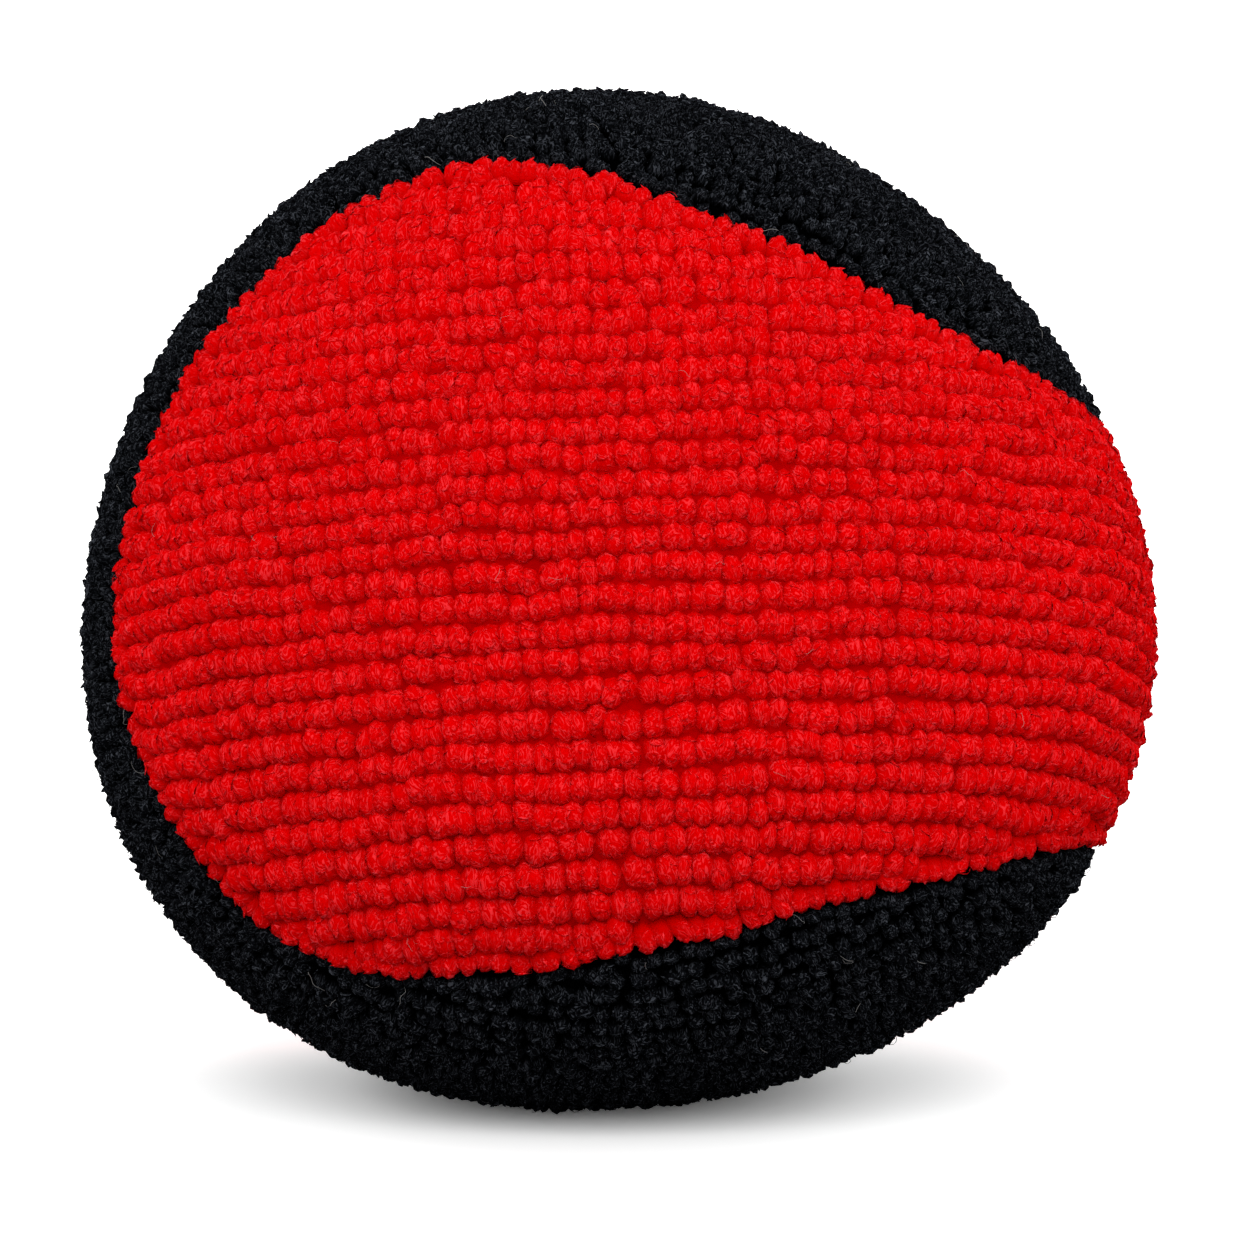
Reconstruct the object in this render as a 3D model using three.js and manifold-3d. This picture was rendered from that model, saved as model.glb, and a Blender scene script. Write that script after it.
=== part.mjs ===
// A stuffed grip ball. Two panels of looped pile, alike in cut, are sewn together like the two panels of a
// baseball and closed over a cotton pouch of absorbent granules.
// Millimetres, +Z up. The ball rests on z = 0, and its front, with the red lobe, faces -Y.

import * as THREE from "three";
import { mergeVertices } from "three/addons/utils/BufferGeometryUtils.js";
import Module from "manifold-3d";

// Stuffed body, to the tips of the pile. Its front view is a circle, a little wider than high, that swells
// towards three corners. The granules sink, so it is deeper from front to back near its base, where it sits
// flat.
const BODY_RADIUS = 41.2;
const WIDTH_SWELL = 1.24;
const CORNER_SWELL = 1.03;
const CORNER_TURN = THREE.MathUtils.degToRad(18.4);
const HALF_DEPTH = 38;
const SAG_DEPTH = 2.5;
const SHOULDER_POWER = 2.5;
const BASE_FLAT_DEPTH = 0.8;

// Seam line, a closed curve round the centre that is thrown out onto the body
const LOBE_REACH = 26.5;
const WAIST_PULL = 14.7;
const SIDE_REACH = 27.4;
const SIDE_SHIFT = 2.5;
const SEAM_TILT = new THREE.Euler(
  THREE.MathUtils.degToRad(-13.0),
  THREE.MathUtils.degToRad(4.0),
  THREE.MathUtils.degToRad(-0.9),
  "ZYX",
);

// Cover cloth, how it rolls in at the seam, and its allowance, folded back flat inside
const GROUND_THICKNESS = 0.8;
const PILE_HEIGHT = 2.0;
const ROLL_WIDTH = 4.5;
const ROLL_DEPTH = 1.4;
const SEAM_FACE_HEIGHT = 0.6;
const ALLOWANCE_THICKNESS = 0.8;
const ALLOWANCE_WIDTH = 5.5;

// Threads of the cover, and the gap through which it was turned and filled
const COVER_THREAD = 0.4;
const COVER_THREAD_OFFSET = 0.4;
const COVER_STITCHES_PER_QUARTER = 20;
const TURNING_GAP = 30;
const TURNING_GAP_PLACE = 0.41;
const KNOT_DIAMETER = 1.1;

// Pouch, a front and a back panel sewn together at the rim
const POUCH_SLACK = 0.4;
const POUCH_WALL = 0.6;
const POUCH_ALLOWANCE_THICKNESS = 0.6;
const POUCH_ALLOWANCE_WIDTH = 5;
const POUCH_THREAD = 0.3;
const POUCH_THREAD_OFFSET = 0.3;
const POUCH_STITCHES_PER_HALF = 20;
const FILLING_GAP = 24;
const FILLING_GAP_PLACE = 0.8;

// Gap that touching pieces keep
const CLEARANCE = 0.3;

// Depths below the tips of the pile, from the outside in
const COVER_WALL = GROUND_THICKNESS + PILE_HEIGHT;
const COVER_CHANNEL_DEPTH = ROLL_DEPTH + SEAM_FACE_HEIGHT;
const COVER_BAND_DEPTH = COVER_WALL + ALLOWANCE_THICKNESS;
const POUCH_DEPTH = COVER_BAND_DEPTH + POUCH_SLACK;
const POUCH_INSIDE_DEPTH = POUCH_DEPTH + POUCH_WALL;
const POUCH_BAND_DEPTH = POUCH_INSIDE_DEPTH + POUCH_ALLOWANCE_THICKNESS;

const HALF_CLEARANCE = CLEARANCE / 2;

// Fineness: steps round a rolled edge, sides of a thread, and where the rings lie on the way from a panel's
// edge to its middle
const ROLL_STEPS = 3;
const THREAD_SIDES = 5;
const COVER_SHARES = [0.36, 0.66, 0.9];
const POUCH_SHARES = [0.25, 0.48, 0.72, 0.92];

const wasm = await Module();
wasm.setup();

const matte = (color, roughness) => new THREE.MeshStandardMaterial({ color, roughness, metalness: 0 });

// Distance from the centre to the tips of the pile, in a unit direction
function bodyRadius(direction) {
  const turn = Math.atan2(direction.z, direction.x);
  const outline =
    BODY_RADIUS + WIDTH_SWELL * Math.cos(2 * turn) + CORNER_SWELL * Math.cos(3 * (turn + CORNER_TURN));
  const sideways = Math.hypot(direction.x, direction.z) / outline;
  const endways = Math.abs(direction.y) / (HALF_DEPTH - SAG_DEPTH * direction.z);
  return (sideways ** SHOULDER_POWER + endways ** SHOULDER_POWER) ** (-1 / SHOULDER_POWER);
}

// The point a depth below the pile's tips, on the way from the centre through a given point
function bodyPoint(through, depth) {
  const direction = through.clone().normalize();
  return direction.multiplyScalar(bodyRadius(direction) - depth);
}

// The point at a depth that lies a distance to one side of a seam's station
function besideSeam(station, side, distance, depth) {
  const aside = bodyPoint(station.direction, depth).addScaledVector(station.across, side * distance);
  return bodyPoint(aside, depth);
}

// The cover's seam before it is tilted: it mirrors in the planes z = 0 and y = 0
class UntiltedSeam extends THREE.Curve {
  getPoint(t, target = new THREE.Vector3()) {
    const s = 2 * Math.PI * t;
    const front = LOBE_REACH * Math.cos(s) - WAIST_PULL * Math.cos(3 * s);
    const up = LOBE_REACH * Math.sin(s) + WAIST_PULL * Math.sin(3 * s);
    return target.set(SIDE_SHIFT - SIDE_REACH * Math.cos(2 * s), -front, up).normalize();
  }
}

// Stations of the cover's seam, one for each stitch: a direction from the centre, and the way along the body
// from the black panel into the red one
function coverStations() {
  const untilted = new UntiltedSeam().getSpacedPoints(4 * COVER_STITCHES_PER_QUARTER).slice(0, -1);
  const directions = untilted.map((direction) => direction.clone().applyEuler(SEAM_TILT));
  return directions.map((direction, i) => {
    const before = bodyPoint(directions.at(i - 1), 0);
    const after = bodyPoint(directions[(i + 1) % directions.length], 0);
    const across = new THREE.Vector3().crossVectors(after.sub(before), direction).normalize();
    return { untilted: untilted[i], direction, across };
  });
}

// Stations of the pouch's rim, which lies midway between front and back
function pouchStations() {
  const count = 2 * POUCH_STITCHES_PER_HALF;
  return Array.from({ length: count }, (_, i) => {
    const turn = (2 * Math.PI * i) / count;
    return {
      direction: new THREE.Vector3(Math.cos(turn), 0, Math.sin(turn)),
      across: new THREE.Vector3(0, 1, 0),
    };
  });
}

// A cover panel's middle line, as one direction for each station. It runs from the centre of one lobe through
// the waist to the centre of the other, and each lobe's end fans out from the lobe's centre.
function middleLine(stations, waistSide, lobeAxis, widthAxis) {
  const turns = stations.map(({ untilted }) => Math.atan2(untilted[lobeAxis], waistSide * untilted.x));
  const widths = stations.map(({ untilted }) => Math.abs(untilted[widthAxis]));
  const lobeTurn = Math.abs(turns[widths.indexOf(Math.max(...widths))]);
  return turns.map((stationTurn) => {
    const turn = THREE.MathUtils.clamp(stationTurn, -lobeTurn, lobeTurn);
    const middle = new THREE.Vector3(waistSide * Math.cos(turn), 0, 0);
    middle[lobeAxis] = Math.sin(turn);
    return middle.applyEuler(SEAM_TILT);
  });
}

// A closed body from rings of equal length. The first and the last ring are closed by rungs, which run across
// the ring in parallel from the point where it folds.
function ringBody(rings, foldAt, mirrored) {
  const count = rings[0].length;
  const faces = [];
  const quad = (a, b, c, d) => faces.push([a, b, c], [a, c, d]);
  for (let ring = 0; ring + 1 < rings.length; ring += 1) {
    const [start, inner] = [ring * count, (ring + 1) * count];
    for (let i = 0; i < count; i += 1) {
      const next = (i + 1) % count;
      quad(start + i, start + next, inner + next, inner + i);
    }
  }
  const last = (rings.length - 1) * count;
  for (let rung = 0; rung < count / 2; rung += 1) {
    const [near, nearNext] = [(foldAt + rung) % count, (foldAt + rung + 1) % count];
    const [far, farNext] = [(foldAt - rung + count) % count, (foldAt - rung - 1 + count) % count];
    quad(near, far, farNext, nearNext);
    quad(last + nearNext, last + farNext, last + far, last + near);
  }
  const whole = faces.filter(([a, b, c]) => a !== b && b !== c && c !== a);
  const geometry = new THREE.BufferGeometry();
  const positions = rings.flat().flatMap((point) => point.toArray());
  geometry.setAttribute("position", new THREE.Float32BufferAttribute(positions, 3));
  geometry.setIndex(whole.flatMap(([a, b, c]) => (mirrored ? [a, b, c] : [a, c, b])));
  return geometry;
}

// A ring at a share of the way from a line beside the seam to the panel's middle
function ringTowards(stations, side, middles, share, distance, depth) {
  return stations.map((station, i) => {
    const start = besideSeam(station, side, distance, depth).normalize();
    return bodyPoint(start.lerp(middles[i], share), depth);
  });
}

// A panel on one side of a seam. Its edge is a list of distances from the seam and depths, from the outer
// face round to the inner one.
function sewnPanel(stations, side, middles, edge, shares, foldAt) {
  const towards = (share, [distance, depth]) =>
    ringTowards(stations, side, middles, share, distance, depth);
  const rings = [
    ...shares.map((share) => towards(share, edge[0])).reverse(),
    ...edge.map(([distance, depth]) =>
      stations.map((station) => besideSeam(station, side, distance, depth)),
    ),
    ...shares.map((share) => towards(share, edge.at(-1))),
  ];
  return ringBody(rings, foldAt, side > 0);
}

// Where the cover rolls in to the seam, as a quarter of an ellipse
function rolledEdge() {
  return Array.from({ length: ROLL_STEPS + 1 }, (_, i) => {
    const turn = (Math.PI / 2) * (1 - i / ROLL_STEPS);
    return [HALF_CLEARANCE + ROLL_WIDTH * (1 - Math.cos(turn)), ROLL_DEPTH * (1 - Math.sin(turn))];
  });
}

// Half the width of the channel that a seam's threads lie in
const channelHalf = (thread, swing) => swing + thread / 2 + CLEARANCE;

function coverPanel(stations, side, middles, foldAt) {
  const channel = channelHalf(COVER_THREAD, COVER_THREAD_OFFSET);
  const edge = [
    ...rolledEdge(),
    [HALF_CLEARANCE, COVER_CHANNEL_DEPTH],
    [channel, COVER_CHANNEL_DEPTH],
    [channel, COVER_BAND_DEPTH],
    [ALLOWANCE_WIDTH, COVER_BAND_DEPTH],
    [ALLOWANCE_WIDTH, COVER_WALL],
  ];
  return sewnPanel(stations, side, middles, edge, COVER_SHARES, foldAt);
}

function pouchPanel(stations, side) {
  const channel = channelHalf(POUCH_THREAD, POUCH_THREAD_OFFSET);
  const pole = new THREE.Vector3(0, side, 0);
  const edge = [
    [HALF_CLEARANCE, POUCH_DEPTH],
    [HALF_CLEARANCE, POUCH_INSIDE_DEPTH],
    [channel, POUCH_INSIDE_DEPTH],
    [channel, POUCH_BAND_DEPTH],
    [POUCH_ALLOWANCE_WIDTH, POUCH_BAND_DEPTH],
    [POUCH_ALLOWANCE_WIDTH, POUCH_INSIDE_DEPTH],
  ];
  return sewnPanel(stations, side, stations.map(() => pole), edge, POUCH_SHARES, 0);
}

// Depths of the two threads of a seam, which lie one under the other in its channel
function threadDepths(channelDepth, thread) {
  const needle = channelDepth + CLEARANCE + thread / 2;
  return { needle, bobbin: needle + thread + CLEARANCE };
}

// The granules fill the pouch and leave room for the band of allowances and threads at its rim
function fill(stations) {
  const fillDepth = POUCH_INSIDE_DEPTH + CLEARANCE;
  const threadFloor = threadDepths(POUCH_INSIDE_DEPTH, POUCH_THREAD).bobbin + POUCH_THREAD / 2;
  const grooveDepth = Math.max(POUCH_BAND_DEPTH, threadFloor) + CLEARANCE;
  const grooveHalf = POUCH_ALLOWANCE_WIDTH + CLEARANCE;
  const half = (side) => {
    const middles = stations.map(() => new THREE.Vector3(0, side, 0));
    const beside = (depth) => stations.map((station) => besideSeam(station, side, grooveHalf, depth));
    const towards = (share) => ringTowards(stations, side, middles, share, grooveHalf, fillDepth);
    return [beside(grooveDepth), beside(fillDepth), ...POUCH_SHARES.map(towards)];
  };
  return ringBody([...half(-1).reverse(), ...half(1)], 0, false);
}

// A line through points that counts its steps in points and not in length
class PointLine extends THREE.Curve {
  constructor(points) {
    super();
    this.points = points;
  }

  getPoint(t, target = new THREE.Vector3()) {
    const place = t * (this.points.length - 1);
    const i = Math.min(Math.floor(place), this.points.length - 2);
    return target.lerpVectors(this.points[i], this.points[i + 1], place - i);
  }

  getUtoTmapping(u) {
    return u;
  }
}

// Points of a thread that swings from one side of the seam to the other at each step. Places are counted in
// stations, and may run past the last one.
function threadPoints(stations, from, to, stepsPerStation, depth, swing) {
  const steps = Math.round((to - from) * stepsPerStation);
  return Array.from({ length: steps + 1 }, (_, step) => {
    const place = from + step / stepsPerStation;
    const i = Math.floor(place);
    const distance = step % 2 ? swing : -swing;
    const [start, end] = [i, i + 1].map((station) =>
      besideSeam(stations[station % stations.length], 1, distance, depth),
    );
    return start.lerp(end, place - i);
  });
}

function threadTube(points, thread) {
  const section = Array.from({ length: THREAD_SIDES }, (_, i) => {
    const turn = (2 * Math.PI * i) / THREAD_SIDES;
    return new THREE.Vector2(Math.cos(turn), Math.sin(turn)).multiplyScalar(thread / 2);
  });
  return new THREE.ExtrudeGeometry(new THREE.Shape(section), {
    steps: points.length - 1,
    extrudePath: new PointLine(points),
  });
}

function toManifold(geometry) {
  const bare = geometry.clone();
  bare.deleteAttribute("normal");
  bare.deleteAttribute("uv");
  const merged = mergeVertices(bare);
  return new wasm.Manifold(
    new wasm.Mesh({
      numProp: 3,
      vertProperties: new Float32Array(merged.attributes.position.array),
      triVerts: new Uint32Array(merged.index.array),
    }),
  );
}

function fromManifold(solid) {
  const mesh = solid.getMesh();
  const geometry = new THREE.BufferGeometry();
  geometry.setAttribute("position", new THREE.BufferAttribute(mesh.vertProperties, 3));
  geometry.setIndex(new THREE.BufferAttribute(mesh.triVerts, 1));
  return geometry;
}

// A hand-sewn thread with a knot at each end
function knottedThread(points, thread) {
  const knots = [points[0], points.at(-1)].map((end) => {
    const knot = new THREE.IcosahedronGeometry(KNOT_DIAMETER / 2, 1);
    return toManifold(knot.translate(end.x, end.y, end.z));
  });
  return fromManifold(toManifold(threadTube(points, thread)).add(knots[0]).add(knots[1]));
}

// The threads of one seam: two from the machine, which stop at the gap, and a knotted one that closes it with
// stitches half as long
function seamThreads(stations, gap, gapPlace, thread, swing, channelDepth) {
  const count = stations.length;
  const length = stations.reduce((sum, { direction }, i) => {
    const next = bodyPoint(stations[(i + 1) % count].direction, 0);
    return sum + bodyPoint(direction, 0).distanceTo(next);
  }, 0);
  const stitch = length / count;
  const gapStart = Math.round(gapPlace * count);
  const gapEnd = gapStart + Math.max(1, Math.round(gap / stitch));
  const { needle, bobbin } = threadDepths(channelDepth, thread);
  const machine = (depth, swingNow) =>
    threadTube(threadPoints(stations, gapEnd, gapStart + count, 1, depth, swingNow), thread);
  const knotRoom = (KNOT_DIAMETER / 2 + thread / 2 + 2 * CLEARANCE) / stitch;
  const closing = threadPoints(
    stations, gapStart + knotRoom, gapEnd - knotRoom, 2, (needle + bobbin) / 2, swing,
  );
  return {
    needle: machine(needle, swing),
    bobbin: machine(bobbin, -swing),
    closing: knottedThread(closing, thread),
  };
}

// The base is cut flat where the ball's weight presses it onto the floor
function withFlatBase(geometry) {
  geometry.computeBoundingBox();
  const floor = geometry.boundingBox.min.z + BASE_FLAT_DEPTH;
  const below = new THREE.BoxGeometry(2 * BODY_RADIUS, 2 * HALF_DEPTH, BODY_RADIUS);
  below.translate(0, 0, floor - BODY_RADIUS / 2);
  return fromManifold(toManifold(geometry).subtract(toManifold(below)));
}

function namedMesh(name, geometry, material) {
  const mesh = new THREE.Mesh(geometry, material);
  mesh.name = name;
  return mesh;
}

function cover() {
  const stations = coverStations();
  const redMiddle = middleLine(stations, 1, "y", "z");
  const blackMiddle = middleLine(stations, -1, "z", "y");
  const threads = seamThreads(
    stations, TURNING_GAP, TURNING_GAP_PLACE, COVER_THREAD, COVER_THREAD_OFFSET, COVER_CHANNEL_DEPTH,
  );
  return [
    namedMesh("red_cover_panel", coverPanel(stations, 1, redMiddle, 0), matte("#e6050f", 0.95)),
    namedMesh(
      "black_cover_panel",
      withFlatBase(coverPanel(stations, -1, blackMiddle, COVER_STITCHES_PER_QUARTER)),
      matte("#0b0d10", 0.95),
    ),
    namedMesh("cover_needle_thread", threads.needle, matte("#15161a", 0.6)),
    namedMesh("cover_bobbin_thread", threads.bobbin, matte("#15161a", 0.6)),
    namedMesh("cover_closing_thread", threads.closing, matte("#15161a", 0.6)),
  ];
}

function pouch() {
  const stations = pouchStations();
  const threads = seamThreads(
    stations, FILLING_GAP, FILLING_GAP_PLACE, POUCH_THREAD, POUCH_THREAD_OFFSET, POUCH_INSIDE_DEPTH,
  );
  return [
    namedMesh("pouch_front_panel", pouchPanel(stations, -1), matte("#e9e4d8", 0.9)),
    namedMesh("pouch_back_panel", pouchPanel(stations, 1), matte("#e9e4d8", 0.9)),
    namedMesh("pouch_needle_thread", threads.needle, matte("#f2efe6", 0.7)),
    namedMesh("pouch_bobbin_thread", threads.bobbin, matte("#f2efe6", 0.7)),
    namedMesh("pouch_closing_thread", threads.closing, matte("#f2efe6", 0.7)),
    namedMesh("absorbent_fill", fill(stations), matte("#c9c2b2", 1)),
  ];
}

// The ball stands on z = 0, with the middle of its width and depth over the origin
const ball = new THREE.Group();
ball.add(...cover(), ...pouch());
const box = new THREE.Box3().setFromObject(ball);
const centre = box.getCenter(new THREE.Vector3());
ball.position.set(-centre.x, -centre.y, -box.min.z);

export default ball;
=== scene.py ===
import math

import bmesh
import bpy
import numpy as np
from mathutils import Euler, Matrix, Vector
from mathutils.noise import noise, noise_vector, seed_set, voronoi


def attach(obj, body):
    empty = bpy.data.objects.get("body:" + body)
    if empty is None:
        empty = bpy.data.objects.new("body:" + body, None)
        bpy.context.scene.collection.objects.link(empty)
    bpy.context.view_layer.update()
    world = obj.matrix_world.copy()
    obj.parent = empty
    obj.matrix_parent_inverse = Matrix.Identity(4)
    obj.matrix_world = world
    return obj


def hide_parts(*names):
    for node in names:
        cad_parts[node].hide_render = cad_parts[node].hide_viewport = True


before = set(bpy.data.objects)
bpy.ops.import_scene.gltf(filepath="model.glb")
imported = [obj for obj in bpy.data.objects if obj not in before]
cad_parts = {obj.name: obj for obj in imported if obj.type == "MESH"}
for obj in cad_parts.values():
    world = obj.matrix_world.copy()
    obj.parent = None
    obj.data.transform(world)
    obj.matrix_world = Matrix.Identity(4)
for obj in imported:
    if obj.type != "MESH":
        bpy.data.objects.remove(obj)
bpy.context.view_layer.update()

# Camera. It stands in front of the ball and 8 degrees above its middle, with a long lens, so that the ball
# fills most of the frame.
MM = 0.001
BALL_MIDDLE = Vector((-0.588, -0.020, 38.359)) * MM
CAMERA_ELEVATION = math.radians(8)
CAMERA_DISTANCE = 900 * MM
FRAME_WIDTH = 99.5 * MM
FRAME_MIDDLE_RIGHT_OF_BALL = 1.19 * MM
FRAME_MIDDLE_BELOW_BALL = 1.60 * MM

camera_data = bpy.data.cameras.new("camera")
camera_data.lens = camera_data.sensor_width * CAMERA_DISTANCE / FRAME_WIDTH
camera_data.clip_start = 0.01
camera_data.clip_end = 50
camera = bpy.data.objects.new("camera", camera_data)
bpy.context.scene.collection.objects.link(camera)
camera.rotation_euler = (math.pi / 2 - CAMERA_ELEVATION, 0, 0)
camera_axes = camera.rotation_euler.to_matrix()
camera.location = BALL_MIDDLE + camera_axes @ Vector(
    (FRAME_MIDDLE_RIGHT_OF_BALL, -FRAME_MIDDLE_BELOW_BALL, CAMERA_DISTANCE)
)
bpy.context.scene.camera = camera


# Absorbent fill. Tens of thousands of clay granules, packed by hand into a rounded lump that takes the
# shape of the pouch. Only its outer granules are modelled, as facets and hollows of the lump.
BODY_RADIUS = 41.2
WIDTH_SWELL = 1.24
CORNER_SWELL = 1.03
CORNER_TURN = math.radians(18.4)
HALF_DEPTH = 38.0
SAG_DEPTH = 2.5
SHOULDER_POWER = 2.5
BLANK_RADIUS = 40 * MM
FILL_DEPTH = 4.9
RIM_GROOVE_DEPTH = 1.3
RIM_GROOVE_HALF = 5.5
RIM_GROOVE_POWER = 8
GRANULE_SIZE = 1.1
GRANULE_RELIEF = 0.35
GRANULE_STEEPNESS = 1.6
GRANULE_SPECK_SCALE = 2600
GRANULE_PALE = (0.60, 0.54, 0.44)
GRANULE_DARK = (0.36, 0.31, 0.24)


def unit(vectors):
    return vectors / np.linalg.norm(vectors, axis=-1, keepdims=True)


def body_radius(directions):
    """How far the tips of the pile are from the ball's middle, in millimetres."""
    x, y, z = directions.T
    turn = np.arctan2(z, x)
    outline = BODY_RADIUS + WIDTH_SWELL * np.cos(2 * turn) + CORNER_SWELL * np.cos(3 * (turn + CORNER_TURN))
    sideways = np.hypot(x, z) / outline
    endways = np.abs(y) / (HALF_DEPTH - SAG_DEPTH * z)
    return (sideways**SHOULDER_POWER + endways**SHOULDER_POWER) ** (-1 / SHOULDER_POWER)


class Wire:
    """A socket in a material. Sums and products of wires and numbers add Math nodes."""

    def __init__(self, finish, socket):
        self.finish = finish
        self.socket = socket

    def other(self, output):
        return Wire(self.finish, self.socket.node.outputs[output])

    def math(self, operation, *values):
        return self.finish.node("ShaderNodeMath", {"operation": operation}, dict(enumerate(values)))

    def __add__(self, value):
        return self.math("ADD", self, value)

    def __sub__(self, value):
        return self.math("SUBTRACT", self, value)

    def __rsub__(self, value):
        return self.math("SUBTRACT", value, self)

    def __mul__(self, value):
        return self.math("MULTIPLY", self, value)

    __radd__ = __add__
    __rmul__ = __mul__


class Finish:
    """A procedural material."""

    def __init__(self, name, tree=None):
        if tree is None:
            self.material = bpy.data.materials.new(name)
            self.material.use_nodes = True
            tree = self.material.node_tree
        self.tree = tree
        self.tree.nodes.clear()

    def node(self, kind, settings=None, inputs=None, output=None):
        """Adds a node, its inputs wires or values, and gives back the wire of one output."""
        node = self.tree.nodes.new(kind)
        for name, setting in (settings or {}).items():
            setattr(node, name, setting)
        for name, value in (inputs or {}).items():
            if isinstance(value, Wire):
                self.tree.links.new(value.socket, node.inputs[name])
            elif isinstance(value, tuple) and len(value) == 3 and node.inputs[name].type == "RGBA":
                node.inputs[name].default_value = (*value, 1)
            else:
                node.inputs[name].default_value = value
        if output is None:
            output = next((i for i, socket in enumerate(node.outputs) if socket.enabled), None)
        return None if output is None else Wire(self, node.outputs[output])

    def mix(self, share, first, second, blend="MIX"):
        settings = {"data_type": "RGBA", "blend_type": blend, "clamp_factor": True}
        return self.node("ShaderNodeMix", settings, {0: share, 6: first, 7: second}, 2)

    def between(self, value, low, high, from_low=0.0, from_high=1.0):
        """A smooth step from low to high."""
        inputs = {"Value": value, "From Min": from_low, "From Max": from_high, "To Min": low, "To Max": high}
        return self.node("ShaderNodeMapRange", {"interpolation_type": "SMOOTHSTEP"}, inputs)

    def noise(self, place, scale, detail=2.0, roughness=0.5, distortion=0.0, dimensions="3D"):
        inputs = {
            "Vector": place,
            "Scale": scale,
            "Detail": detail,
            "Roughness": roughness,
            "Distortion": distortion,
        }
        return self.node("ShaderNodeTexNoise", {"noise_dimensions": dimensions}, inputs, "Fac")

    def cloth(self, colour, roughness, height, relief, sheen=0.0, sheen_tint=(1.0, 1.0, 1.0), strength=1.0):
        bump = {"Strength": strength, "Distance": relief, "Height": height}
        normal = self.node("ShaderNodeBump", {}, bump)
        shader = self.node(
            "ShaderNodeBsdfPrincipled",
            {},
            {
                "Base Color": colour,
                "Roughness": roughness,
                "Normal": normal,
                "Specular IOR Level": 0.0,
                "Sheen Weight": sheen,
                "Sheen Roughness": 0.5,
                "Sheen Tint": sheen_tint,
            },
        )
        self.node("ShaderNodeOutputMaterial", {}, {"Surface": shader})
        return self.material


def finished(name, mesh_source, material, nodes):
    """Makes an object of a bmesh, smooth, in its place, and standing for its CAD nodes."""
    mesh = bpy.data.meshes.new(name)
    mesh_source.to_mesh(mesh)
    mesh_source.free()
    for polygon in mesh.polygons:
        polygon.use_smooth = True
    mesh.materials.append(material)
    piece = bpy.data.objects.new(name, mesh)
    bpy.context.scene.collection.objects.link(piece)
    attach(piece, "root")
    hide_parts(*nodes)
    return piece


def at_depth(points, depth):
    """Points moved along their rays from the ball's middle to a depth below the tips of the pile."""
    directions = unit(points)
    return directions * (body_radius(directions) - depth)[:, None]


def moved_vertices(shape, move):
    """Moves all vertices of a bmesh at once. move takes and gives rows of millimetres from the middle."""
    places = np.array([vertex.co for vertex in shape.verts]) / MM - np.array(BALL_MIDDLE) / MM
    for vertex, place in zip(shape.verts, move(places)):
        vertex.co = Vector(place) * MM + BALL_MIDDLE


fill_shape = bmesh.new()
bmesh.ops.create_icosphere(fill_shape, subdivisions=6, radius=BLANK_RADIUS)
bmesh.ops.translate(fill_shape, vec=BALL_MIDDLE, verts=fill_shape.verts)


def granular(points):
    relief = np.array([voronoi(Vector(point) / GRANULE_SIZE)[0][0] for point in points])
    groove = RIM_GROOVE_DEPTH * np.exp(-((points[:, 1] / RIM_GROOVE_HALF) ** RIM_GROOVE_POWER))
    hollows = GRANULE_RELIEF * np.clip(relief * GRANULE_STEEPNESS, 0, 1)
    return at_depth(points, FILL_DEPTH + hollows + groove)


moved_vertices(fill_shape, granular)
bmesh.ops.recalc_face_normals(fill_shape, faces=fill_shape.faces)
granule = Finish("absorbent_granules")
place = granule.node("ShaderNodeTexCoord", {}, {}, "Object")
cells = {"Vector": place, "Scale": 1 / (GRANULE_SIZE * MM)}
grains = granule.node("ShaderNodeTexVoronoi", {}, cells, "Distance")
speck = granule.noise(place, GRANULE_SPECK_SCALE, 3)
fill = finished(
    "absorbent_granule_fill",
    fill_shape,
    granule.cloth(granule.mix(speck, GRANULE_DARK, GRANULE_PALE), 0.95, speck - grains, 0.3 * MM),
    ["absorbent_fill"],
)


# Pouch. Two rounds of plain woven cotton, sewn together at the rim. The rim is turned in, lies flat inside
# as an allowance, and puckers a little along the stitches.
POUCH_DEPTH = 4.0
POUCH_CLOTH = 0.4
POUCH_SEAM_HALF = 0.15
POUCH_TURN_DEPTH = 0.9
POUCH_ALLOWANCE = 5.0
POUCH_ALLOWANCE_DROP = 0.2
PUCKERS = 64
PUCKER_DEPTH = 0.12
PUCKER_REACH = 3.0
WEAVE_PITCH = 0.42 * MM
SLUB_SCALE = 900
SLUB_SHARE = 0.3
COTTON = (0.80, 0.77, 0.70)
COTTON_GAP = (0.50, 0.46, 0.38)

cotton = Finish("woven_cotton")
place = cotton.node("ShaderNodeTexCoord", {}, {}, "Object")
across = cotton.node("ShaderNodeSeparateXYZ", {}, {0: place}, "X")
up = across.other("Z")
warp = cotton.node("ShaderNodeMath", {"operation": "SINE"}, {0: across * (2 * math.pi / WEAVE_PITCH)})
weft = cotton.node("ShaderNodeMath", {"operation": "SINE"}, {0: up * (2 * math.pi / WEAVE_PITCH)})
weave = warp * weft * 0.5 + 0.5
slub = cotton.noise(place, SLUB_SCALE, 3)
shade = cotton.mix(weave * (1 - SLUB_SHARE) + slub * SLUB_SHARE, COTTON_GAP, COTTON)
cotton_material = cotton.cloth(shade, 0.95, weave, 0.12 * MM, 0.1, COTTON)


def put_in_order(shape):
    """Sorts the parts of a form along a slant. A cut gives them in an order that changes from run to run."""
    slant = Vector((0.31, 0.95, 0.11))
    shape.verts.sort(key=lambda vertex: vertex.co.dot(slant))
    for parts in (shape.edges, shape.faces):
        parts.sort(key=lambda part: sum(corner.co.dot(slant) for corner in part.verts))


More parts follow.
